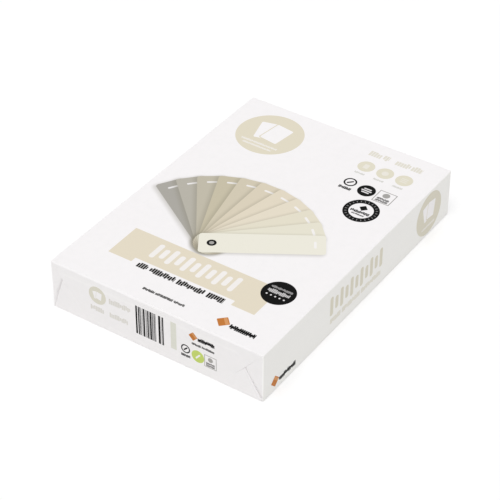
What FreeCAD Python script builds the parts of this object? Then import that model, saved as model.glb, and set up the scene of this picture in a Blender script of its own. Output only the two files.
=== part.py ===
import FreeCAD, Part
import math
import os

# A sealed ream of A4 card, lying on its back with the printed face up.
# The pack is one closed body: 250 sheets pressed tight inside one sheet of
# wrapper paper. The wrapper is lapped and glued along the underside, and is
# folded shut and glued over both short ends. All sizes are in millimetres.
#
# Frame: the origin is on the resting plane, under the middle of the pack.
# +X runs along the short side of the sheets, +Y along their long side towards
# the head of the print, and +Z up through the printed face.

# The stack of card inside.
sheet_width = 210.0
sheet_length = 297.0
sheet_count = 250
sheet_pitch = 0.19

# The wrapper paper, and how tightly it turns the edges of the stack.
wrapper_ply = 0.10
turned_edge_radius = 1.2

# The glued lap on the underside: how far its free edge is from the middle.
lap_edge_from_middle = 62.0

# The glued folds on each short end. The flap from the underside is folded up
# first, and the flap from the printed face comes down over it. Each stops
# short of the far edge of the pack, and its side folds start just inside the
# turned corners.
flap_corner_clearance = 0.1
under_flap_short_of_top = 7.8
over_flap_short_of_base = 4.3

# The slant of each flap's side folds in degrees from its own edge of the pack,
# left then right, as seen from outside that end.
front_under_slants = (72.0, 60.0)
front_over_slants = (54.0, 51.0)
back_under_slants = (64.0, 67.0)
back_over_slants = (47.0, 50.0)

# One ply lies on top of the stack and two under it, at the lap.
stack_height = sheet_count * sheet_pitch
pack_height = stack_height + 3 * wrapper_ply
pack_width = sheet_width + 2 * wrapper_ply

# Each flap carries its turned-in corner under it, so it stands two plies proud
# of what it covers.
flap_step = 2 * wrapper_ply
under_flap_level = pack_height - under_flap_short_of_top
flap_width_at_fold = pack_width - 2 * (turned_edge_radius + flap_corner_clearance)
tucked_length = sheet_length + 2 * wrapper_ply
under_length = tucked_length + 2 * flap_step
over_length = under_length + 2 * flap_step


def turned_block(length, bottom):
    """A block as wide as the pack, from the level `bottom` to the printed face,
    with all its edges turned as the wrapper turns them."""
    corner = FreeCAD.Vector(-pack_width / 2, -length / 2, bottom)
    block = Part.makeBox(pack_width, length, pack_height - bottom, corner)
    return block.makeFillet(turned_edge_radius, block.Edges)


def lapped_block(length):
    """The turned block with the lap's step along its underside: the outer
    panel lies on the resting plane, and past its edge the inner one shows."""
    inner_panel = turned_block(length, wrapper_ply)
    outer_width = pack_width / 2 + lap_edge_from_middle
    corner = FreeCAD.Vector(-pack_width / 2, -length / 2, 0)
    outer_side = Part.makeBox(outer_width, length, pack_height, corner)
    outer_panel = turned_block(length, 0).common(outer_side)
    return inner_panel.fuse(outer_panel)


def flap_outline(fold_level, free_level, slants, end):
    """The face of a flap seen from outside its end: nearly as wide as the pack
    at its fold, and narrowed by the slanted side folds towards its free edge.
    `end` is -1 for the front end and +1 for the back one."""
    depth = abs(free_level - fold_level)
    beyond = fold_level + math.copysign(turned_edge_radius, fold_level - free_level)
    half = flap_width_at_fold / 2
    left_run = depth / math.tan(math.radians(slants[0]))
    right_run = depth / math.tan(math.radians(slants[1]))
    across_and_up = [
        (-half, beyond),
        (half, beyond),
        (half, fold_level),
        (half - right_run, free_level),
        (-half + left_run, free_level),
        (-half, fold_level),
        (-half, beyond),
    ]
    corners = [FreeCAD.Vector(-end * across, 0, up) for across, up in across_and_up]
    return Part.Face(Part.makePolygon(corners))


def flap(length, fold_level, free_level, slants, end):
    """One glued flap, cut from a block that stands as far out as the flap."""
    outline = flap_outline(fold_level, free_level, slants, end)
    reach = FreeCAD.Vector(0, end * length, 0)
    return lapped_block(length).common(outline.extrude(reach))


def end_flaps(under_slants, over_slants, end):
    """Both flaps of one short end, in the order in which they are folded."""
    under = flap(under_length, 0, under_flap_level, under_slants, end)
    over = flap(over_length, pack_height, over_flap_short_of_base, over_slants, end)
    return [under, over]


def wrapped_ream():
    """The whole pack as one closed solid."""
    folds = end_flaps(front_under_slants, front_over_slants, -1)
    folds += end_flaps(back_under_slants, back_over_slants, 1)
    pack = lapped_block(tucked_length).fuse(folds)
    return pack.removeSplitter()


os.makedirs("parts", exist_ok=True)
ream = wrapped_ream()
ream.exportStep("parts/wrapped_ream.step")

sheet_area = sheet_width * sheet_length / 1e6
print("solids", len(ream.Solids), "closed and valid", ream.isValid())
print("size", ream.BoundBox.XLength, ream.BoundBox.YLength, ream.BoundBox.ZLength)
print("volume in litres", ream.Volume / 1e6, "card area in square metres", sheet_count * sheet_area)
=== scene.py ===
import math

import bpy
import numpy as np
from mathutils import Matrix, Vector, noise
from mathutils.geometry import delaunay_2d_cdt


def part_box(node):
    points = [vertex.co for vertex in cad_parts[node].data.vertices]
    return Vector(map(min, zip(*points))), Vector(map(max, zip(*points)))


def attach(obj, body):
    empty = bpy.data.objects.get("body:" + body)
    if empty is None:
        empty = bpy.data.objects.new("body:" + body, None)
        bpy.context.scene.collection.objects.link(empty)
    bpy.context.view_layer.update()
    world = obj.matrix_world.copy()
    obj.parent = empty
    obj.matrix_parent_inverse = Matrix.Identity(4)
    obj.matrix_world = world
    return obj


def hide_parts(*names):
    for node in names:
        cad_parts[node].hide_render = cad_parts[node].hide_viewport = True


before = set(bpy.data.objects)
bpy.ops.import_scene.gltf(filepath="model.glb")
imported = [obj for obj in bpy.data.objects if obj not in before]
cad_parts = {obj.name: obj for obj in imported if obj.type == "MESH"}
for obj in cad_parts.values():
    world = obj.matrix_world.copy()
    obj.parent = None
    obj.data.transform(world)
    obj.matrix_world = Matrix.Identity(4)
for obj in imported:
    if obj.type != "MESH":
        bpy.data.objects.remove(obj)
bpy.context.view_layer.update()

# ---------------------------------------------------------------- the view
# A long lens looks down past the front right-hand corner of the pack, so that
# its printed face, its folded front end and one long side all show.

view_azimuth = math.radians(34.0)
view_elevation = math.radians(38.03)
view_roll = math.radians(0.14)
view_distance = 1.501
aim_right = -0.0065
aim_up = 0.007

level_right = Vector((math.cos(view_azimuth), math.sin(view_azimuth), 0))
back = Vector((
    math.sin(view_azimuth) * math.cos(view_elevation),
    -math.cos(view_azimuth) * math.cos(view_elevation),
    math.sin(view_elevation),
))
level_up = back.cross(level_right)
right = level_right * math.cos(view_roll) + level_up * math.sin(view_roll)
up = back.cross(right)

lens = bpy.data.cameras.new("view")
lens.sensor_width = 36
lens.lens = 125
camera = bpy.data.objects.new("view", lens)
bpy.context.scene.collection.objects.link(camera)
stand = back * view_distance + right * aim_right + up * aim_up
camera.matrix_world = Matrix.Translation(stand) @ Matrix((right, up, back)).transposed().to_4x4()
bpy.context.scene.camera = camera

# ------------------------------------------------------------- the wrapper
# One sheet of coated white wrapper paper, printed before it is wrapped. It is
# pulled tight round the card as a sleeve, lapped along the underside, and
# folded shut over both short ends, where its flaps are glued down.

mm = 0.001
pack_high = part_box("wrapped_ream")[1] / mm
ply = 0.1
flap_step = 2 * ply
edge_turn = 1.2
foot_edge_turn = 0.5
half_width = pack_high.x
height = pack_high.z
half_length = pack_high.y - 2 * flap_step
lap_edge = 62.0

# Rows of the mesh lie close together where the paper turns an edge.
turned_rows = (0, 0.15, 0.33, 0.55, 0.85, 1.2, 1.8, 2.8, 4.2)
row_spacing = 2.5
upright_row_spacing = 2.0


def rows(start, end, spacing, extra=()):
    """Places of the mesh rows across one panel of the sleeve."""
    near_edges = [start + row for row in turned_rows] + [end - row for row in turned_rows]
    inner_start, inner_end = start + turned_rows[-1], end - turned_rows[-1]
    count = round((inner_end - inner_start) / spacing)
    middle = np.linspace(inner_start, inner_end, count + 1)[1:-1]
    return np.array(sorted([*near_edges, *middle, *extra]))


x_rows = rows(-half_width, half_width, row_spacing, (lap_edge, lap_edge + ply))
y_rows = rows(-half_length, half_length, row_spacing)
z_rows = rows(0, height, upright_row_spacing)

# Each short end, as seen from outside it: "across" runs to the right and "up"
# runs up. A flap is as wide as the pack at its fold, and its side folds slant
# in towards its free edge. An end is named by the way it faces along y.
front_end, back_end = -1, 1
ends = (front_end, back_end)
flap_corner_clearance = 0.1
fold_start = half_width - edge_turn - flap_corner_clearance


def flap(fold_level, free_level, left_slant, right_slant):
    """The three sides of a flap: a point on each and the way into the flap."""
    toward = math.copysign(1, free_level - fold_level)
    sides = []
    for hand, slant in ((-1, left_slant), (1, right_slant)):
        turn = math.radians(slant)
        inward = (-hand * math.sin(turn), -toward * math.cos(turn))
        sides.append(((hand * fold_start, fold_level), inward))
    sides.append(((0, free_level), (0, -toward)))
    return sides


under_flap_short_of_top = 7.8
over_flap_short_of_base = 4.3
under_slants = {front_end: (72, 60), back_end: (64, 67)}
over_slants = {front_end: (54, 51), back_end: (47, 50)}
under_flaps, over_flaps = {}, {}
for end in ends:
    under_flaps[end] = flap(0, height - under_flap_short_of_top, *under_slants[end])
    over_flaps[end] = flap(height, over_flap_short_of_base, *over_slants[end])


def inside_side(side, across, up):
    """How far each point lies inwards of one side of a flap, in mm."""
    point, inward = side
    return (across - point[0]) * inward[0] + (up - point[1]) * inward[1]


def distance_inside(sides, across, up):
    """How far inside a flap's nearest edge each point lies, in mm."""
    return np.minimum.reduce([inside_side(side, across, up) for side in sides])


def inward_of_nearest(sides, across, up):
    """The way into a flap at each point, square to the flap's nearest edge."""
    nearest = np.argmin([inside_side(side, across, up) for side in sides], axis=0)
    return np.array([inward for _, inward in sides])[nearest].T


def crossing(first, second):
    """The point where two side folds cross."""
    inwards = [first[1], second[1]]
    return np.linalg.solve(inwards, [np.dot(*first), np.dot(*second)])


def smooth(value, start, end):
    """0 before start, 1 after end, with a soft rise between them."""
    part = np.clip((value - start) / (end - start), 0, 1)
    return part * part * (3 - 2 * part)


def folded_edge(inside):
    """The rounded rise of a folded edge of paper, from 0 outside to 1 inside."""
    part = np.clip(inside / fold_radius, 0, 1)
    return np.sqrt(1 - (1 - part) ** 2)


# Paper folded back on itself is thicker than one sheet and has a rounded edge.
# Some of the tucked-in sides gape more than others. For the left and the right
# side of each end: the gap's depth at three heights, and how many times as wide
# as deep it is. Next to a gap, the paper is drawn in under the flap.
fold_thickness = 0.25
fold_radius = 0.3
drawn_in_share = 0.5
gap_heights = (0, 14, 30)
gaps = {
    front_end: (((1.3, 4.2, 3.2), 0.7), ((1.9, 1.15, 0.6), 2.1)),
    back_end: (((1.7, 1.2, 1.1), 1.3), ((1.1, 1.4, 1.6), 1.0)),
}

# The mesh has lines at these distances inside and outside each flap's edges.
edge_margin = 0.03
fold_offsets = (0, edge_margin, 0.1, 0.2, fold_radius, 0.6, 1.0)
under_gap_offsets = (-3.3, -2.4, -1.7, -1.2, -0.8, -0.45, -0.2, -0.06)
over_gap_offsets = (-1.2, -0.7, -0.3, -0.06)


def lay_flap(level, flap_level, inside, gap):
    """The end's surface with one more flap laid on it, over a gap that runs along
    and in under the flap's edge. Gives how far it stands out and how far each
    point is drawn in under the flap."""
    on_flap = inside > -edge_margin
    edge = np.maximum(flap_level - fold_thickness * (1 - folded_edge(inside)), level - gap)
    drawn_in = np.where(on_flap, 0, drawn_in_share * gap)
    return np.where(on_flap, edge, level - gap), drawn_in


# How many plies the outer flap stands out: at its own fold, below that, and where
# the side folds cross. It sinks a little past the inner flap's free edge, and
# past the edges of the side tucks.
plies_at_fold = 1.4
plies_below_fold = 1.6
plies_at_crossing = 1.8
plies_at_free_edge = 0.15
plies_past_side_tucks = 0.3
tight_below_fold = 20
crossing_reach = 10
side_tuck_reach = 43
gap_at_crossing = 0.5


def end_shape(end, across, up):
    """How far each point of an end stands out past the tucked-in sides, and how
    far it is drawn in under the lower and the upper flap."""
    under, over = under_flaps[end], over_flaps[end]
    inside_under = distance_inside(under, across, up)
    inside_over = distance_inside(over, across, up)
    from_upright = half_width - np.abs(across)
    clear_of_edges = smooth(from_upright, 0.1, 1.0) * smooth(np.minimum(up, height - up), 0.2, 2.0)
    # The outer flap stands off a little where the folds cross.
    lift = np.zeros(np.shape(across))
    for hand in (0, 1):
        apex = crossing(over[hand], under[hand])
        lift = lift + np.exp(-((across - apex[0]) ** 2 + (up - apex[1]) ** 2) / crossing_reach ** 2)

    depth = np.where(across < 0, *(np.interp(up, gap_heights, depths) for depths, _ in gaps[end]))
    wide = depth * np.where(across < 0, *(times for _, times in gaps[end]))
    under_gap = depth * (1 - smooth(-inside_under, 0.2, wide))
    under_gap = under_gap * clear_of_edges * smooth(-inside_over, 0, 0.8)
    level, under_shift = lay_flap(0, flap_step, inside_under, under_gap)

    # The outer flap is the tighter the nearer it is to its own fold, and shows
    # faintly what lies under it.
    over_gap = gap_at_crossing * lift * (1 - smooth(-inside_over, 0.1, 1.2)) * clear_of_edges
    plies = plies_at_fold + plies_below_fold * smooth(height - up, 0, tight_below_fold)
    plies = plies + plies_at_crossing * lift
    plies = plies - plies_at_free_edge * smooth(up, height - 12, height - 5)
    plies = plies - plies_past_side_tucks * smooth(from_upright, side_tuck_reach, side_tuck_reach + 3)
    level, over_shift = lay_flap(level, ply * plies, inside_over, over_gap)
    return level, under_shift * (inside_over < -edge_margin), over_shift


# Lines of the inner flap's edges end this far in under the outer flap. All lines
# keep clear of the end's outline, and other mesh points keep clear of the lines.
line_end_under_flap = 0.4
line_spacing = 1.5
line_reach = 150
room_at_outline = 0.2
room_beside_lines = 0.9
room_on_turned_edge = 0.2


def end_panel(end):
    """Points (across, up) and triangles of one end, with mesh lines along every
    edge of its flaps."""
    points, lines = [], []

    def line(places):
        first = len(points)
        points.extend(places)
        lines.extend((i, i + 1) for i in range(first, first + len(places) - 1))

    outline = [(x, 0) for x in x_rows[:-1]]
    outline += [(half_width, z) for z in z_rows[:-1]]
    outline += [(x, height) for x in x_rows[:0:-1]]
    outline += [(-half_width, z) for z in z_rows[:0:-1]]
    if end > 0:
        outline = [(-x, z) for x, z in outline]
    line(outline)
    lines.append((len(points) - 1, 0))

    over, under = over_flaps[end], under_flaps[end]
    drawn = [(side, offset, False) for side in over for offset in (*over_gap_offsets, *fold_offsets)]
    drawn += [
        (side, offset, True) for side in under[:2] for offset in (*under_gap_offsets, *fold_offsets)
    ]
    for side, offset, hidden_by_over in drawn:
        (px, pz), (nx, nz) = side
        run = np.arange(-line_reach, line_reach, line_spacing)
        x = px + nx * offset - nz * run
        z = pz + nz * offset + nx * run
        kept = (np.abs(x) < half_width - room_at_outline)
        kept &= (z > room_at_outline) & (z < height - room_at_outline)
        inside_over = distance_inside(over, x, z)
        if hidden_by_over:
            kept &= inside_over < line_end_under_flap
        else:
            kept &= inside_over > -abs(offset) - 0.01
        stretch = np.flatnonzero(kept)
        if len(stretch) > 1:
            line([(x[i], z[i]) for i in range(stretch[0], stretch[-1] + 1)])

    # The rest is filled with a plain grid that keeps clear of those lines, apart
    # from where they have ended.
    for x in x_rows[1:-1]:
        for z in z_rows[1:-1]:
            across = -end * x
            on_turn = min(half_width - abs(across), z, height - z) < edge_turn + 0.1
            room = room_on_turned_edge if on_turn else room_beside_lines
            inside_over = distance_inside(over, across, z)
            covered = inside_over > line_end_under_flap
            beyond = inside_over < over_gap_offsets[0] - room
            clear = all(
                abs(inside_side(side, across, z) - offset) > room
                for side, offset, hidden_by_over in drawn
                if not (covered if hidden_by_over else beyond)
            )
            if clear:
                points.append((across, z))
    flat = [Vector((float(a), float(b))) for a, b in points]
    keep_what_is_inside, merge_distance = 1, 1e-4
    made, _, triangles, _, _, _ = delaunay_2d_cdt(flat, lines, [], keep_what_is_inside, merge_distance)
    return [tuple(p) for p in made], triangles


# The panels meet along shared points, so the wrapper is one closed skin.
corners, corner_number = [], {}
faces, face_panels = [], []


def corner(place):
    key = tuple(round(value, 3) for value in place)
    if key not in corner_number:
        corner_number[key] = len(corners)
        corners.append(place)
    return corner_number[key]


def sleeve_panel(name, first_rows, second_rows, place):
    """A panel of the sleeve as a grid. place(a, b) gives a point on it."""
    grid = [[corner(place(a, b)) for b in second_rows] for a in first_rows]
    for i in range(len(first_rows) - 1):
        for j in range(len(second_rows) - 1):
            faces.append((grid[i][j], grid[i + 1][j], grid[i + 1][j + 1], grid[i][j + 1]))
            face_panels.append(name)


sleeve_panel("face", x_rows, y_rows, lambda x, y: (x, y, height))
sleeve_panel("underside", y_rows, x_rows, lambda y, x: (x, y, 0))
sleeve_panel("right", y_rows, z_rows, lambda y, z: (half_width, y, z))
sleeve_panel("left", z_rows, y_rows, lambda z, y: (-half_width, y, z))
for end, name in ((front_end, "front"), (back_end, "back")):
    places, triangles = end_panel(end)
    numbers = [corner((-end * across, end * half_length, level)) for across, level in places]
    for triangle in triangles:
        faces.append([numbers[i] for i in triangle])
        face_panels.append(name)

sharp = np.array(corners)

# Every point is carried from the sharp box of the panels onto the turned edges,
# which are tighter in some places than in others, and tightest at the foot.
middle = np.array((0, 0, height / 2))
reach = np.array((half_width, half_length, height / 2))


def unevenness(places, wavelength, seed):
    """Soft random values from -1 to 1, with humps about a wavelength apart."""
    shift = Vector((seed * 17.3, seed * 5.1, seed * 9.7))
    return np.array([noise.noise(Vector(p) / wavelength + shift) for p in places])


tight_up_to = 15
turn_unevenness = 0.3
turn = foot_edge_turn + (edge_turn - foot_edge_turn) * smooth(sharp[:, 2], 0, tight_up_to)
turn *= 1 + turn_unevenness * unevenness(sharp, wavelength=24, seed=1)
turn = turn[:, None]
core = np.clip(sharp - middle, turn - reach, reach - turn)
outward = sharp - middle - core
outward /= np.linalg.norm(outward, axis=1)[:, None]
placed = middle + core + outward * turn

# The flaps stand out past the ends. Along the underside, the outer panel's lap
# lies a ply below the inner one.
end_side = np.sign(sharp[:, 1])
across, up = -end_side * sharp[:, 0], sharp[:, 2]
on_end = np.clip((np.abs(placed[:, 1]) - half_length + turn[:, 0]) / turn[:, 0], 0, 1)
for end in ends:
    level, under_shift, over_shift = end_shape(end, across, up)
    here = on_end * (end_side == end)
    placed[:, 1] += end * here * level
    for flap_sides, shift in ((under_flaps[end], under_shift), (over_flaps[end], over_shift)):
        inward = inward_of_nearest(flap_sides, across, up)
        placed[:, 0] -= end * here * shift * inward[0]
        placed[:, 2] += here * shift * inward[1]
on_underside = np.clip(1 - placed[:, 2] / turn[:, 0], 0, 1)
placed[:, 2] += ply * smooth(placed[:, 0], lap_edge, lap_edge + ply) * on_underside

# Taut paper is never quite flat: it has long shallow hollows, and short creases
# that run out from the corners of the pack. All of them lie inside its outline.
long_hollow, short_hollow, crease = 0.10, 0.03, 0.16
crease_begins = (0.5, 4)
crease_ends = (5, 20)
hollows = long_hollow * (1 - unevenness(sharp, wavelength=55, seed=2))
hollows += short_hollow * (1 - unevenness(sharp, wavelength=14, seed=3))
crease_depth = np.zeros(len(sharp))
for corner_seed, signs in enumerate(np.ndindex(2, 2, 2)):
    tip = middle + reach * (2 * np.array(signs) - 1)
    away = sharp - tip
    distance = np.linalg.norm(away, axis=1)
    direction = away / np.maximum(distance, 0.01)[:, None]
    ridges = 1 - np.abs(unevenness(direction, wavelength=0.22, seed=10 + corner_seed))
    fade = smooth(distance, *crease_begins) * (1 - smooth(distance, *crease_ends))
    crease_depth += crease * ridges ** 2 * fade
placed -= outward * (hollows + crease_depth)[:, None]
placed[:, 2] = np.maximum(placed[:, 2], 0)

skin = bpy.data.meshes.new("wrapper")
skin.from_pydata((placed * mm).tolist(), [], faces)
wrapper = bpy.data.objects.new("wrapper", skin)
bpy.context.scene.collection.objects.link(wrapper)
skin.shade_smooth()
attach(wrapper, "root")
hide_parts("wrapped_ream")

# The coating is rubbed whiter along the upright edges, and less along the edges of the flaps. Along the
# uprights the whitening is also a painted highlight, the bright line of a lit turned edge. Paper on a turned
# edge faces off square to the panels.
rub_at_flap_edges = 0.25
rub_middle_inside_edge = 0.25
off_square = 0.05
on_turned_edge = np.clip((1 - np.abs(outward).max(axis=1)) / off_square, 0, 1)
upright_share = 1 - smooth(np.abs(outward[:, 2]), 0.1, 0.5)
rub_and_highlight_share = on_turned_edge * upright_share
near_flap_edge = np.zeros(len(sharp))
for end in ends:
    for sides in (under_flaps[end], over_flaps[end]):
        off_edge = np.abs(distance_inside(sides, across, up) - rub_middle_inside_edge)
        near_flap_edge = np.maximum(near_flap_edge, (1 - smooth(off_edge, 0.1, 0.6)) * (end_side == end))
# This attribute holds both worn coating and the painted highlight along the upright edges.
rub = skin.attributes.new("rub", "FLOAT", "POINT")
rub.data.foreach_set("value", np.maximum(rub_and_highlight_share, rub_at_flap_edges * near_flap_edge * on_end))

# For baking, the panels are laid out as the blank of a box is: the printed face
# in the middle, the sides and ends folded out round it, the underside smaller.
underside_scale = 0.33
gap_in_layout = 6
layout_low = np.array((-half_width - height, -half_length - height))
layout_side = 2 * (half_length + height)


def layout_place(panel, x, y, z):
    drop = height - z
    if panel == "right":
        return half_width + drop, y
    if panel == "left":
        return -half_width - drop, y
    if panel == "front":
        return x, -half_length - drop
    if panel == "back":
        return x, half_length + drop
    if panel == "underside":
        start = half_width + height + gap_in_layout
        return start + underside_scale * (x + half_width), underside_scale * y
    return x, y


layout = skin.uv_layers.new(name="OFBake")
places = []
for panel, numbers in zip(face_panels, faces):
    places += [layout_place(panel, *sharp[number]) for number in numbers]
places = (np.array(places) - layout_low) / layout_side
layout.data.foreach_set("uv", places.ravel())

# ------------------------------------------------- the wrapper's plain paper
# Ream wrap is bleached paper with a smooth coating on its outer face. Close up
# it is faintly cloudy, with fibres showing through the coating.


def node(tree, kind, inputs=None, **settings):
    """One shader node, with its settings, and its inputs linked or filled in."""
    made = tree.nodes.new("ShaderNode" + kind)
    for name, value in settings.items():
        setattr(made, name, value)
    for name, value in (inputs or {}).items():
        if isinstance(value, bpy.types.NodeSocket):
            tree.links.new(value, made.inputs[name])
        else:
            made.inputs[name].default_value = value
    return made


def node_group(name, inputs, outputs):
    """An empty node group with named sockets, and its two end nodes."""
    tree = bpy.data.node_groups.new(name, "ShaderNodeTree")
    for socket, kind in inputs.items():
        tree.interface.new_socket(socket, in_out="INPUT", socket_type="NodeSocket" + kind)
    for socket, kind in outputs.items():
        tree.interface.new_socket(socket, in_out="OUTPUT", socket_type="NodeSocket" + kind)
    return tree, tree.nodes.new("NodeGroupInput"), tree.nodes.new("NodeGroupOutput")


def colour(red, green, blue):
    """A colour given as it looks on a screen, from 0 to 255."""
    parts = [part / 255 for part in (red, green, blue)]
    linear = [p / 12.92 if p <= 0.04045 else ((p + 0.055) / 1.055) ** 2.4 for p in parts]
    return (*linear, 1)


paper_white = colour(243.5, 241, 241.8)
# Paper whitened by rubbing; on the upright edges this white is also a painted highlight.
rubbed_and_highlight_white = colour(254, 253, 252)
cloud_grey = colour(237, 235.5, 235.5)

# Noise scales are waves in a metre: clouds of about 6 mm, scuffs of 2 mm, fibres
# of 0.4 mm that run longer along the web of the paper.
cloud_scale = 160
scuff_scale = 420
fibre_scale = 2600
fibre_stretch = (1.0, 0.35, 1.0)
rub_dulling = 0.22
cloud_relief = 3.0

coated_paper, given, result = node_group(
    "coated paper",
    {"Place": "Vector", "Rub": "Float"},
    {"Colour": "Color", "Roughness": "Float", "Height": "Float"},
)
clouds = node(coated_paper, "TexNoise", {
    "Vector": given.outputs["Place"], "Scale": cloud_scale, "Detail": 3, "Roughness": 0.6,
})
fibre_run = node(coated_paper, "Mapping", {
    "Vector": given.outputs["Place"], "Scale": fibre_stretch,
})
fibres = node(coated_paper, "TexNoise", {
    "Vector": fibre_run.outputs["Vector"], "Scale": fibre_scale, "Detail": 4, "Roughness": 0.65,
})
scuffs = node(coated_paper, "TexNoise", {
    "Vector": given.outputs["Place"], "Scale": scuff_scale, "Detail": 5, "Roughness": 0.7,
})
cloudiness = node(coated_paper, "MapRange", {
    "Value": clouds.outputs["Fac"], "From Min": 0.4, "From Max": 0.75, "To Max": 0.35,
})
clouded = node(coated_paper, "Mix", {
    "Factor": cloudiness.outputs["Result"], "A": paper_white, "B": cloud_grey,
}, data_type="RGBA")
fleck_share = node(coated_paper, "MapRange", {
    "Value": fibres.outputs["Fac"], "From Min": 0.55, "From Max": 0.8, "To Max": 0.5,
})
flecked = node(coated_paper, "Mix", {
    "Factor": fleck_share.outputs["Result"], "A": clouded.outputs["Result"], "B": cloud_grey,
}, data_type="RGBA")
scuffed = node(coated_paper, "MapRange", {
    "Value": scuffs.outputs["Fac"], "From Min": 0.3, "From Max": 0.5, "To Min": 0.8,
})
# Where rubbed, the paper turns whiter: worn coating, and along the upright edges a painted highlight.
rub_and_highlight_amount = node(coated_paper, "Math", {
    0: scuffed.outputs["Result"], 1: given.outputs["Rub"],
}, operation="MULTIPLY")
worn_and_highlighted = node(coated_paper, "Mix", {
    "Factor": rub_and_highlight_amount.outputs["Value"], "A": flecked.outputs["Result"], "B": rubbed_and_highlight_white,
}, data_type="RGBA")
gloss = node(coated_paper, "MapRange", {
    "Value": clouds.outputs["Fac"], "From Min": 0.3, "From Max": 0.7, "To Min": 0.42, "To Max": 0.5,
})
dulled = node(coated_paper, "Math", {
    0: rub_and_highlight_amount.outputs["Value"], 1: rub_dulling, 2: gloss.outputs["Result"],
}, operation="MULTIPLY_ADD")
relief = node(coated_paper, "Math", {
    0: clouds.outputs["Fac"], 1: cloud_relief, 2: fibres.outputs["Fac"],
}, operation="MULTIPLY_ADD")
coated_paper.links.new(worn_and_highlighted.outputs["Result"], result.inputs["Colour"])
coated_paper.links.new(dulled.outputs["Value"], result.inputs["Roughness"])
coated_paper.links.new(relief.outputs["Value"], result.inputs["Height"])

# --------------------------------------------------------------- the print
# The wrapper is printed flat in beige, near black and small spots of orange and
# green. Each mark is a plain disc or a bar with rounded corners.


def edge_mask(tree, outside, soft_edge):
    """1 inside a printed shape and 0 outside it, with a soft edge between."""
    soft_start = node(tree, "Math", {0: soft_edge, 1: -1.0}, operation="MULTIPLY")
    return node(tree, "MapRange", {
        "Value": outside,
        "From Min": soft_start.outputs["Value"], "From Max": soft_edge,
        "To Min": 1.0, "To Max": 0.0,
    }, interpolation_type="SMOOTHSTEP").outputs["Result"]


printed_disc, given, result = node_group(
    "printed disc",
    {"Place": "Vector", "Centre": "Vector", "Radius": "Float", "Soft edge": "Float"},
    {"Mask": "Float"},
)
distance = node(printed_disc, "VectorMath", {
    0: given.outputs["Place"], 1: given.outputs["Centre"],
}, operation="DISTANCE")
outside = node(printed_disc, "Math", {
    0: distance.outputs["Value"], 1: given.outputs["Radius"],
}, operation="SUBTRACT")
mask = edge_mask(printed_disc, outside.outputs["Value"], given.outputs["Soft edge"])
printed_disc.links.new(mask, result.inputs["Mask"])

printed_bar, given, result = node_group(
    "printed bar",
    {
        "Place": "Vector", "Centre": "Vector", "Half size": "Vector",
        "Rounding": "Float", "Turn": "Float", "Soft edge": "Float",
    },
    {"Mask": "Float"},
)
turned = node(printed_bar, "VectorRotate", {
    "Vector": given.outputs["Place"], "Center": given.outputs["Centre"], "Angle": given.outputs["Turn"],
}, rotation_type="Z_AXIS")
away = node(printed_bar, "VectorMath", {
    0: turned.outputs["Vector"], 1: given.outputs["Centre"],
}, operation="SUBTRACT")
folded = node(printed_bar, "VectorMath", {0: away.outputs["Vector"]}, operation="ABSOLUTE")
past = node(printed_bar, "VectorMath", {
    0: folded.outputs["Vector"], 1: given.outputs["Half size"],
}, operation="SUBTRACT")
beyond = node(printed_bar, "VectorMath", {0: past.outputs["Vector"], 1: (0, 0, 0)}, operation="MAXIMUM")
distance = node(printed_bar, "VectorMath", {0: beyond.outputs["Vector"]}, operation="LENGTH")
outside = node(printed_bar, "Math", {
    0: distance.outputs["Value"], 1: given.outputs["Rounding"],
}, operation="SUBTRACT")
mask = edge_mask(printed_bar, outside.outputs["Value"], given.outputs["Soft edge"])
printed_bar.links.new(mask, result.inputs["Mask"])


# Lines of print are rows of plain upright bars, each apart from the next. Many
# are cut short at the head or the foot, at random, and there is nothing to read.
bars_per_height = 2.9
rows_per_height = 5
bar_share = 0.84
full_heads = 0.65
full_feet = 0.75
steep_rise = 4375.85
made_up_print, given, result = node_group(
    "made-up print", {"Place": "Vector", "Start": "Vector", "Tall": "Float"}, {"Mask": "Float"},
)
away = node(made_up_print, "VectorMath", {
    0: given.outputs["Place"], 1: given.outputs["Start"],
}, operation="SUBTRACT")
per_mm = node(made_up_print, "Math", {0: 1.0, 1: given.outputs["Tall"]}, operation="DIVIDE")
in_lines = node(made_up_print, "VectorMath", {
    0: away.outputs["Vector"], "Scale": per_mm.outputs["Value"],
}, operation="SCALE")
in_cells = node(made_up_print, "VectorMath", {
    0: in_lines.outputs["Vector"], 1: (bars_per_height, rows_per_height, 0),
}, operation="MULTIPLY")
cell = node(made_up_print, "VectorMath", {0: in_cells.outputs["Vector"]}, operation="FLOOR")
row = node(made_up_print, "VectorMath", {
    0: cell.outputs["Vector"], 1: (0, 1, 0),
}, operation="DOT_PRODUCT").outputs["Value"]
in_cell = node(made_up_print, "VectorMath", {0: in_cells.outputs["Vector"]}, operation="FRACTION")
along_cell = node(made_up_print, "VectorMath", {
    0: in_cell.outputs["Vector"], 1: (1, 0, 0),
}, operation="DOT_PRODUCT")
strokes = node(made_up_print, "Math", {
    0: along_cell.outputs["Value"], 1: bar_share,
}, operation="LESS_THAN").outputs["Value"]
seeded = node(made_up_print, "VectorMath", {
    0: cell.outputs["Vector"], 1: given.outputs["Start"],
}, operation="ADD")


def some_columns(share, steepness):
    """1 for a random share of the bars. A steep sine gives each its own value."""
    angle = node(made_up_print, "VectorMath", {
        0: seeded.outputs["Vector"], 1: (steepness, 0, 0),
    }, operation="DOT_PRODUCT")
    wave = node(made_up_print, "Math", {0: angle.outputs["Value"]}, operation="SINE")
    steep = node(made_up_print, "Math", {0: wave.outputs["Value"], 1: steep_rise}, operation="MULTIPLY")
    pick = node(made_up_print, "Math", {0: steep.outputs["Value"]}, operation="FRACT")
    return node(made_up_print, "Math", {
        0: pick.outputs["Value"], 1: share,
    }, operation="LESS_THAN").outputs["Value"]


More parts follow.
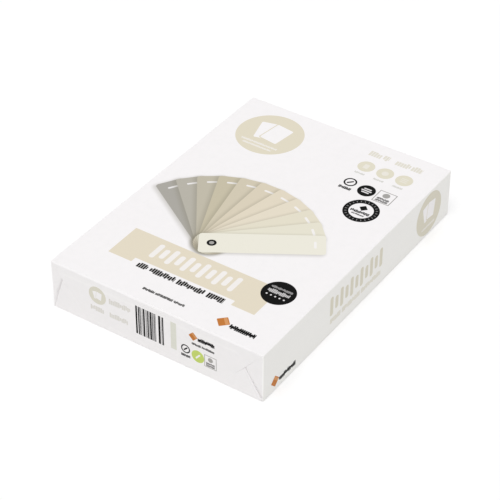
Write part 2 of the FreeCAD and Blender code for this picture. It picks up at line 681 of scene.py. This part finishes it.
after_head_row, before_foot_row = 0.5, rows_per_height - 1.5
for full_share, steepness, side_of_row, row_limit in (
    (full_heads, 12.99, "GREATER_THAN", after_head_row),
    (full_feet, 78.23, "LESS_THAN", before_foot_row),
):
    clear_of_end = node(made_up_print, "Math", {0: row, 1: row_limit}, operation=side_of_row)
    kept = node(made_up_print, "Math", {
        0: some_columns(full_share, steepness), 1: clear_of_end.outputs["Value"],
    }, operation="MAXIMUM")
    strokes = node(made_up_print, "Math", {
        0: strokes, 1: kept.outputs["Value"],
    }, operation="MULTIPLY").outputs["Value"]
made_up_print.links.new(strokes, result.inputs["Mask"])


# In mm: how soft the edges of print are where nothing else is said, and how deep
# the coating's fine relief is.
crisp = 0.06
relief_depth = 0.01


class PrintedPaper:
    """Coated paper as a material, with print laid on it one shape at a time, in
    mm. across and down are the two directions of its panel in the pack's frame,
    and start is the panel's upper left corner as it is read."""

    def __init__(self, name, across=None, down=None, start=None):
        self.material = bpy.data.materials.new(name)
        self.material.use_nodes = True
        self.tree = self.material.node_tree
        where = node(self.tree, "TexCoord").outputs["Object"]
        # The rub attribute holds worn coating and a painted highlight along the upright edges.
        rub_and_highlight_share = node(self.tree, "Attribute", attribute_name="rub", attribute_type="GEOMETRY")
        self.bare = node(self.tree, "Group", node_tree=coated_paper)
        self.tree.links.new(where, self.bare.inputs["Place"])
        self.tree.links.new(rub_and_highlight_share.outputs["Fac"], self.bare.inputs["Rub"])
        self.colour = self.bare.outputs["Colour"]
        if across:
            away = node(self.tree, "VectorMath", {0: where, 1: [c * mm for c in start]}, operation="SUBTRACT")
            run = node(self.tree, "VectorMath", {
                0: away.outputs["Vector"], 1: [c / mm for c in across],
            }, operation="DOT_PRODUCT")
            fall = node(self.tree, "VectorMath", {
                0: away.outputs["Vector"], 1: [c / mm for c in down],
            }, operation="DOT_PRODUCT")
            self.place = node(self.tree, "CombineXYZ", {
                "X": run.outputs["Value"], "Y": fall.outputs["Value"],
            }).outputs["Vector"]

    def ink(self, mask, ink_colour=None, strength=1.0):
        """Lays ink where the mask is 1, or takes it off again down to the paper."""
        if strength != 1.0:
            mask = node(self.tree, "Math", {0: mask, 1: strength}, operation="MULTIPLY").outputs["Value"]
        over = ink_colour or self.bare.outputs["Colour"]
        self.colour = node(self.tree, "Mix", {
            "Factor": mask, "A": self.colour, "B": over,
        }, data_type="RGBA").outputs["Result"]

    def disc(self, centre, radius, ink_colour=None, strength=1.0, soft=crisp):
        made = node(self.tree, "Group", {
            "Place": self.place, "Centre": (*centre, 0), "Radius": radius, "Soft edge": soft,
        }, node_tree=printed_disc)
        self.ink(made.outputs["Mask"], ink_colour, strength)

    def bar_mask(self, centre, size, rounding, turn=0, soft=crisp):
        return node(self.tree, "Group", {
            "Place": self.place, "Centre": (*centre, 0), "Rounding": rounding,
            "Half size": (size[0] / 2 - rounding, size[1] / 2 - rounding, 0),
            "Turn": math.radians(turn), "Soft edge": soft,
        }, node_tree=printed_bar).outputs["Mask"]

    def bar(self, centre, size, rounding, ink_colour=None, strength=1.0, turn=0, soft=crisp):
        self.ink(self.bar_mask(centre, size, rounding, turn, soft), ink_colour, strength)

    def words(self, spans, level, tall, ink_colour=None, strength=1.0):
        """A line of made-up words, each from its start to its end."""
        for start, end in spans:
            word = self.bar_mask(((start + end) / 2, level), (end - start, tall), 0.05 * tall)
            signs = node(self.tree, "Group", {
                "Place": self.place, "Start": (start, level - tall / 2, 0), "Tall": tall,
            }, node_tree=made_up_print).outputs["Mask"]
            mask = node(self.tree, "Math", {0: word, 1: signs}, operation="MULTIPLY").outputs["Value"]
            self.ink(mask, ink_colour, strength)

    def finish(self):
        """Ink dries a little glossier than the bare coating around it."""
        shader = self.tree.nodes["Principled BSDF"]
        shader.inputs["Specular IOR Level"].default_value = 0.05
        self.tree.links.new(self.colour, shader.inputs["Base Color"])
        tone = node(self.tree, "RGBToBW", {"Color": self.colour})
        shine = node(self.tree, "MapRange", {
            "Value": tone.outputs["Val"], "From Min": 0, "From Max": 0.85, "To Min": 0.75, "To Max": 1,
        })
        roughness = node(self.tree, "Math", {
            0: self.bare.outputs["Roughness"], 1: shine.outputs["Result"],
        }, operation="MULTIPLY")
        self.tree.links.new(roughness.outputs["Value"], shader.inputs["Roughness"])
        bump = node(self.tree, "Bump", {
            "Height": self.bare.outputs["Height"], "Strength": 0.5, "Distance": relief_depth * mm,
        })
        self.tree.links.new(bump.outputs["Normal"], shader.inputs["Normal"])
        return self.material


near_black = colour(6, 6, 6)
text_grey = colour(52, 50, 48)
outline_grey = colour(165, 163, 160)
orange = colour(193, 121, 58)
light_orange = colour(212, 152, 100)


def sheets_sign(panel, centre, tall, ground):
    """A small sign of two overlapping sheets, left bare in the ground colour."""
    x, y = centre
    size = (0.72 * tall, tall)
    rim = (size[0] + 0.08 * tall, size[1] + 0.08 * tall)
    shift = 0.2 * tall
    panel.bar((x - shift, y), size, 0.06 * tall, turn=14)
    panel.bar((x + shift, y), rim, 0.08 * tall, ground, turn=-8)
    panel.bar((x + shift, y), size, 0.06 * tall, turn=-8)


pill_count = 11
pill_spacing = 7.8
pill_width = 4.8
pill_heights = (19.5, 13)
pill_rounding = 2.2


def row_of_pills(panel, start, level, ink_colour=None, strength=1.0):
    """Tall and short upright pills by turns, where a pack has its large name."""
    for pill in range(pill_count):
        size = (pill_width, pill_heights[pill % 2])
        panel.bar((start + pill * pill_spacing, level), size, pill_rounding, ink_colour, strength)


def corner_sign(panel, centre, size):
    """An orange square on its corner, with a paler stripe along one side."""
    x, y = centre
    panel.bar(centre, (size, size), 0.08 * size, orange, turn=45)
    stripe = (x + 0.18 * size, y - 0.18 * size)
    panel.bar(stripe, (0.3 * size, 0.9 * size), 0.05 * size, light_orange, turn=45)


def bold_words(panel, start, end, level, tall):
    """The heavier made-up print beside a corner sign, joined at half height."""
    panel.words([(start, end)], level, tall, near_black)
    panel.bar(((start + end) / 2, level), (end - start, 0.4 * tall), 0.1, near_black)


def tick_sign(panel, centre, radius):
    """A thin ring with a short stroke in it, over a line of small print."""
    x, y = centre
    panel.disc(centre, radius, near_black)
    panel.disc(centre, 0.74 * radius)
    panel.bar(centre, (1.1 * radius, 0.3 * radius), 0.1 * radius, near_black, turn=45)
    panel.words([(x - radius, x + radius)], y + 1.6 * radius, 0.6 * radius, near_black)


def framed_sign(panel, centre, size):
    """A thin grey frame round a dot and two lines of small print."""
    x, y = centre
    wide, tall = size
    line = 0.05 * wide
    panel.bar(centre, size, 0.3, outline_grey)
    panel.bar(centre, (wide - 2 * line, tall - 2 * line), 0.25)
    panel.disc((x, y - 0.18 * tall), 0.2 * wide, outline_grey)
    for drop in (0.16, 0.34):
        panel.words([(x - 0.35 * wide, x + 0.35 * wide)], y + drop * tall, 0.16 * tall, text_grey, 0.9)


# ------------------------------------------------------ print on the face
# The face carries a cream disc, a row of small signs, a fan of card samples
# over a beige band, and a line of small print at the foot.

face = PrintedPaper("printed face", (1, 0, 0), (0, -1, 0), (-half_width, pack_high.y, height))

cream = colour(222, 214.8, 194.7)
light_cream = colour(222.5, 217.5, 198.5)
beige = colour(224.7, 215.4, 195.3)
faint_beige = colour(223.5, 219.5, 207.5)
caption_grey = colour(210.5, 209.5, 204.5)
headline_black = colour(24, 22, 18)

cream_disc = (47.7, 43.8)
face.disc(cream_disc, 31.3, cream)
sheets_sign(face, (47.5, 40), 25.5, cream)
face.words([(28.5, 66)], 60.8, 2.6, strength=0.65)
face.words([(32.5, 62.5)], 65.2, 2.4, strength=0.65)

face.words([(137, 149), (151, 157), (164, 178.5), (180, 190.5)], 17.3, 7.4, faint_beige)
small_disc_places = ((145.3, 37.6), (164.5, 37.6), (183.6, 37.6))
for x, y in small_disc_places:
    face.disc((x, y), 7.9, light_cream)
    face.words([(x - 5, x + 5)], 49.4, 2.6, caption_grey)
sheet_place, dot_place, stack_place = small_disc_places
face.bar(sheet_place, (4.8, 6.4), 0.5, strength=0.4)
face.disc(dot_place, 3.2, strength=0.4)
for y in (35.2, 37.6, 40):
    face.bar((stack_place[0], y), (6.8, 1.1), 0.5, strength=0.4)

tick_sign(face, (145.9, 65.4), 6.0)
black_disc = (164.1, 68.6)
face.disc(black_disc, 8.2, near_black)
for shift in (-2.6, 0, 2.6):
    face.bar((black_disc[0], black_disc[1] + shift), (10 - abs(shift), 1.5), 0.5, strength=0.85)
framed_sign(face, (182.3, 68.8), (17, 17))

ring = (175.2, 95.9)
ring_radius = 16
ring_hole_radius = 10.8
tick_radius = 13.4
tick_count = 24
face.disc(ring, ring_radius, near_black)
face.disc(ring, ring_hole_radius)
for tick in range(tick_count):
    angle = tick * math.tau / tick_count
    place = (ring[0] + tick_radius * math.sin(angle), ring[1] - tick_radius * math.cos(angle))
    face.bar(place, (0.7, 2.0), 0.3, strength=0.28, turn=-math.degrees(angle))
face.bar((ring[0], ring[1] - 4.2), (5.8, 5.8), 0.4, near_black, turn=45)
face.words([(ring[0] - 9, ring[0] + 9)], ring[1] + 2.2, 3.6, near_black)
face.words([(ring[0] - 6, ring[0] + 6)], ring[1] + 6, 1.8, text_grey)

# the fan of card samples, from a grey one to the palest cream
pivot = (95.6, 203.5)
fan_spread = 58
blade_tones = (
    (169, 166, 159), (181, 177, 166), (190, 184, 167), (196, 188, 165), (207, 198, 177), (215, 205, 184),
    (223, 213, 193), (226, 217, 198), (225, 219, 200), (227, 223, 206), (233, 230, 217),
)
blade_size = (26, 106)
blade_tail = 11
mark_from_tip = 9
blade_shadow = colour(138, 133, 116)
shadow_softness = 3.6


def on_blade(lean, reach):
    """The place on the face so far out from the rivet, along a leaning blade."""
    turn = math.radians(lean)
    return (pivot[0] + math.sin(turn) * reach, pivot[1] - math.cos(turn) * reach)


for blade, tone in enumerate(blade_tones):
    lean = fan_spread * (2 * blade / (len(blade_tones) - 1) - 1)
    middle_of_blade = on_blade(lean, blade_size[1] / 2 - blade_tail)
    shadow_place = (middle_of_blade[0] - 0.8, middle_of_blade[1] + 1.6)
    shadow_size = (blade_size[0] + 2, blade_size[1] + 1)
    face.bar(shadow_place, shadow_size, 4, blade_shadow, 0.42, turn=-lean, soft=shadow_softness)
    face.bar(middle_of_blade, blade_size, 3, colour(*tone), turn=-lean)
    mark_place = on_blade(lean, blade_size[1] - blade_tail - mark_from_tip)
    face.bar(mark_place, (9, 2.2), 0.8, strength=0.8, turn=-lean)
face.disc(pivot, 4.2, near_black)
face.disc(pivot, 2.1, outline_grey)

# the beige band with a row of bare pills, and a dark line in its notch
face.bar((104.2, 241.6), (145, 38.4), 0.3, beige)
row_of_pills(face, 64.8, 238, strength=0.8)
face.bar((105, 260.5), (99, 11), 0.5)
face.words([(62, 72), (74.5, 99.5), (102, 128.5), (131.5, 147.5)], 260.6, 6.4, headline_black)
face.words([(84, 95.5), (96.5, 113.5), (114.5, 125)], 282.8, 2.9, headline_black)

badge = (177.9, 227.3)
dot_count = 5
dot_spacing = 4.1
face.disc(badge, 14.7, near_black)
face.words([(badge[0] - 10, badge[0] + 10)], badge[1] - 5.4, 2.6, strength=0.35)
face.words([(badge[0] - 10, badge[0] + 10)], badge[1] - 0.3, 4.6, strength=0.6)
for dot in range(dot_count):
    face.disc((badge[0] + (dot - dot_count // 2) * dot_spacing, badge[1] + 5.2), 0.8, strength=0.9)

corner_sign(face, (161.3, 281), 9.2)
bold_words(face, 168.3, 192.5, 282.5, 5.2)

# ------------------------------------------------- print on the front end
# The flap that closes the front end repeats the signs in small, in the same
# inks, beside a made-up bar code and an upright band.

front = PrintedPaper("printed front end", (1, 0, 0), (0, 0, -1), (-half_width, -half_length, height))

end_cream = colour(219.5, 216, 202)
end_words = colour(220.5, 217.5, 211.5)
end_olive = colour(221.5, 221.5, 211)
lime_green = colour(196, 213, 112)
end_disc = (48.2, 14.8)
front.disc(end_disc, 8.7, end_cream)
sheets_sign(front, end_disc, 7.4, end_cream)
front.words([(60, 81.5)], 15, 5.4, end_words)
front.words([(40.5, 54), (60, 78.5)], 29.2, 5, end_words)
front.bar((124.5, 20.8), (5.6, 27.6), 0.3, end_olive)
corner_sign(front, (143.7, 12.1), 6.2)
bold_words(front, 148.2, 164.2, 13.1, 4.0)
front.words([(142.2, 151), (152, 164)], 19.5, 2.4, headline_black)
tick_sign(front, (136.1, 28.6), 4.4)
green_disc = (148.1, 31)
front.disc(green_disc, 6.1, lime_green)
front.bar(green_disc, (1.5, 6.4), 0.7, turn=-40)
framed_sign(front, (160.2, 31.4), (11.8, 12.4))

# The code's modules are inked or left bare at random.
module = 0.42
module_count = 68
bare_share = 0.48
column = node(front.tree, "SeparateXYZ", {"Vector": front.place}).outputs["X"]
column = node(front.tree, "Math", {0: column, 1: module}, operation="DIVIDE").outputs["Value"]
column = node(front.tree, "Math", {0: column}, operation="FLOOR").outputs["Value"]
pick = node(front.tree, "TexWhiteNoise", {"W": column}, noise_dimensions="1D").outputs["Value"]
bare_modules = node(front.tree, "Math", {0: pick, 1: bare_share}, operation="LESS_THAN").outputs["Value"]
inked_colour = node(front.tree, "Mix", {
    "Factor": bare_modules, "A": near_black, "B": front.colour,
}, data_type="RGBA").outputs["Result"]
front.bar((100.4, 21.3), (module_count * module, 29), 0.2, inked_colour)

# -------------------------------------------- print on the right long side
# The long side is part of the same printed sheet. It carries the corner sign, the row of pills and the cream
# disc, and the whole side is washed a little warmer than the face.

side = PrintedPaper("printed long side", (0, 1, 0), (0, 0, -1), (half_width, -pack_high.y, height))

side_cream = colour(217.5, 212.5, 197)
side_tint = colour(241, 241, 236)
tint_strength = 0.5
tint_overlap = 2
tinted_size = (2 * pack_high.y + tint_overlap, height + tint_overlap)
# A faint warm wash over the whole long side, a little darker in blue than the bare paper.
side.bar((pack_high.y, height / 2), tinted_size, 0.1, side_tint, tint_strength)
corner_sign(side, (17.4, 38.3), 8.2)
bold_words(side, 23.0, 47, 39.9, 5.0)
row_of_pills(side, 100.4, 19.3, side_cream)
side.words([(98.5, 115), (117, 145), (147, 178.5)], 34.9, 5.2, faint_beige)
side.disc((260.3, 24.2), 21.5, side_cream)
sheets_sign(side, (260.3, 21.2), 17, side_cream)
side.words([(249, 271.5)], 37.4, 2.4, strength=0.6)

# ------------------------------------------------------- the plain panels
# The left side, the back end and the underside are the same coated sheet, left
# unprinted. Each panel of the skin is then given its own paper.

plain = PrintedPaper("plain wrapper")
panel_papers = {"face": face, "front": front, "right": side, "plain": plain}
for printed in panel_papers.values():
    skin.materials.append(printed.finish())
slots = {name: slot for slot, name in enumerate(panel_papers)}
panel_slots = [slots.get(panel, slots["plain"]) for panel in face_panels]
skin.polygons.foreach_set("material_index", panel_slots)

# --------------------------------------------------------------- the room
# The pack lies on a pale floor in even studio light, with one large soft lamp
# high in front of it.

reach_of_floor = 4
floor_corners = [
    (reach_of_floor * x, reach_of_floor * y, 0) for x, y in ((-1, -1), (1, -1), (1, 1), (-1, 1))
]
floor_sheet = bpy.data.meshes.new("floor")
floor_sheet.from_pydata(floor_corners, [], [(0, 1, 2, 3)])
floor = bpy.data.objects.new("floor", floor_sheet)
bpy.context.scene.collection.objects.link(floor)


def seen_plainly(tree):
    """1 for what the camera sees straight on, in a gloss or through something clear."""
    path = node(tree, "LightPath")
    either = node(tree, "Math", {
        0: path.outputs["Is Camera Ray"], 1: path.outputs["Is Glossy Ray"],
    }, operation="MAXIMUM")
    return node(tree, "Math", {
        0: either.outputs["Value"], 1: path.outputs["Is Transmission Ray"],
    }, operation="MAXIMUM").outputs["Value"]


floor_paint = bpy.data.materials.new("floor")
floor_paint.use_nodes = True
tree = floor_paint.node_tree
tree.nodes.clear()
lit_floor = (0.915, 0.915, 0.9, 1)
seen_floor = (0.985, 0.985, 0.985, 1)
seen = seen_plainly(tree)
floor_colour = node(tree, "Mix", {
    "Factor": seen, "A": lit_floor, "B": seen_floor,
}, data_type="RGBA").outputs["Result"]
paint = node(tree, "BsdfDiffuse", {"Color": floor_colour})
# The floor looks mostly plain white, with the pack's faint shadow on it.
plain_white_share = 0.3
white = node(tree, "Emission", {"Color": (1, 1, 1, 1), "Strength": 1.0})
white_share = node(tree, "Math", {0: seen, 1: plain_white_share}, operation="MULTIPLY")
shown = node(tree, "MixShader", {
    0: white_share.outputs["Value"], 1: paint.outputs["BSDF"], 2: white.outputs["Emission"],
})
output = node(tree, "OutputMaterial")
tree.links.new(shown.outputs["Shader"], output.inputs["Surface"])
floor_sheet.materials.append(floor_paint)

world = bpy.data.worlds.new("studio")
bpy.context.scene.world = world
world.use_nodes = True
tree = world.node_tree
background = tree.nodes["Background"]
background.inputs["Color"].default_value = (1, 1, 1, 1)
light_all_round = 0.66
strength = node(tree, "MapRange", {
    "Value": seen_plainly(tree), "To Min": light_all_round, "To Max": 1.0,
})
tree.links.new(strength.outputs["Result"], background.inputs["Strength"])

lamp_data = bpy.data.lights.new("soft lamp", "SUN")
lamp_data.angle = math.radians(36)
lamp_data.energy = 1.26
lamp = bpy.data.objects.new("soft lamp", lamp_data)
bpy.context.scene.collection.objects.link(lamp)
lamp.location = (0.5, -1.55, 4.5)
lamp.rotation_euler = (-lamp.location).to_track_quat("-Z", "Y").to_euler()

bpy.context.scene.view_settings.view_transform = "Standard"
